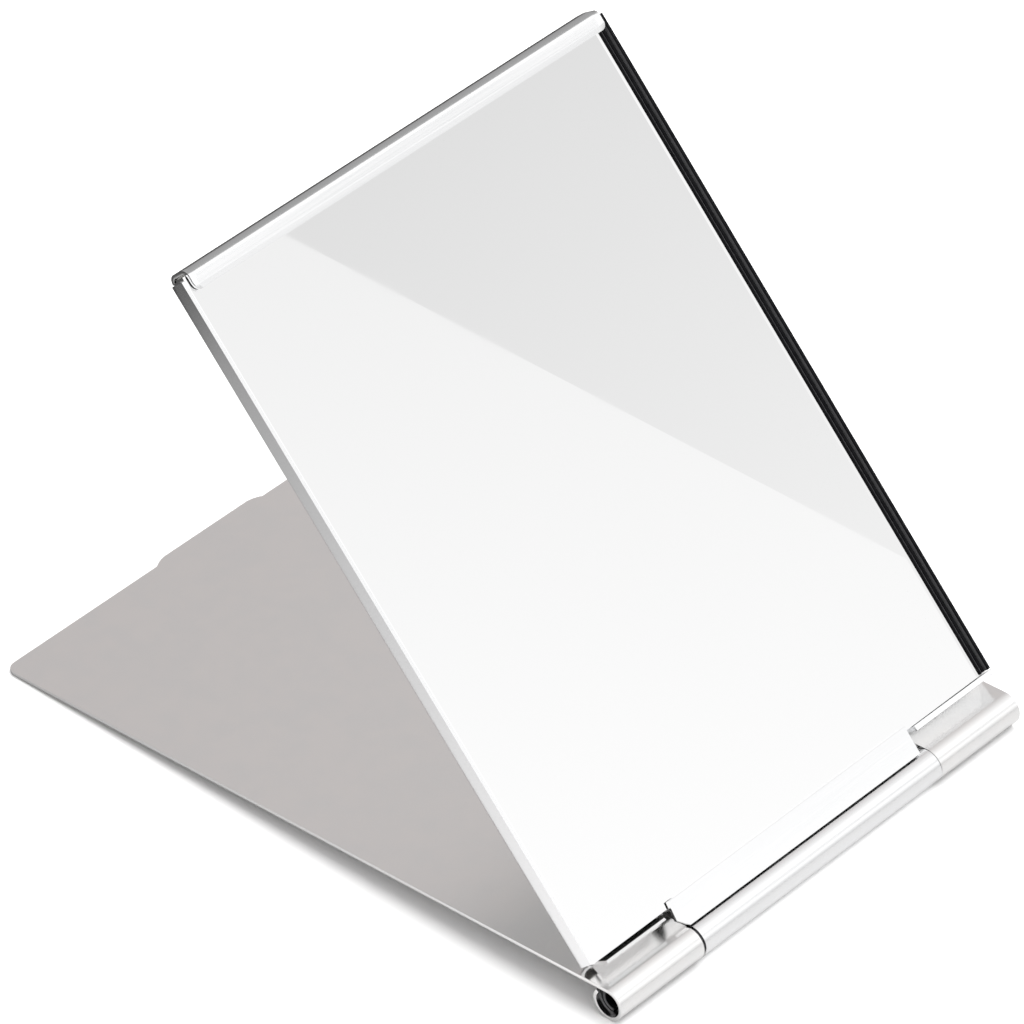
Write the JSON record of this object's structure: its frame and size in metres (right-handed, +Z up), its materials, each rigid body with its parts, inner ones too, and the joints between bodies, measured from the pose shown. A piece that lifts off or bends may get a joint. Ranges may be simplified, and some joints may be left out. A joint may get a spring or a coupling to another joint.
{
  "type": "folding travel mirror",
  "caption": "Folding pocket mirror: a bevelled glass in a thin folded metal tray, with a plain cover that swings round behind it and becomes its stand.",
  "frame": {"origin": "on the table, under the middle of the standing mirror's bounding box", "axes": "+Z up, +X along the hinge to the right as seen from the front, +Y backwards, along the cover to its far edge"},
  "size_m": [0.065, 0.0912, 0.0679],
  "materials": {
    "satin_aluminium": "fine satin, warm grey, softly reflecting",
    "bright_aluminium": "bright smooth",
    "spring_steel": "dull grey, rolled",
    "silvered_glass": "clear mirror with a shallow bevel",
    "black_rubber": "black, ribbed lengthwise",
    "white_foam": "matte foam tape"
  },
  "bodies": {
    "tray": {"mirror_tray": "bright_aluminium", "retaining_bar": "bright_aluminium", "mirror_glass": "silvered_glass", "edge_strip": "black_rubber", "foam_tape_1": "white_foam", "foam_tape_2": "white_foam", "foam_tape_3": "white_foam"},
    "cover": {"cover_plate": "satin_aluminium", "hinge_pin": "spring_steel"}
  },
  "joints": [
    {"name": "hinge_fold", "type": "hinge", "parent": "tray", "child": "cover", "pos_m": [0, -0.04356, 0.002], "axis": [-1, 0, 0], "range_deg": [0, 309.8]}
  ]
}
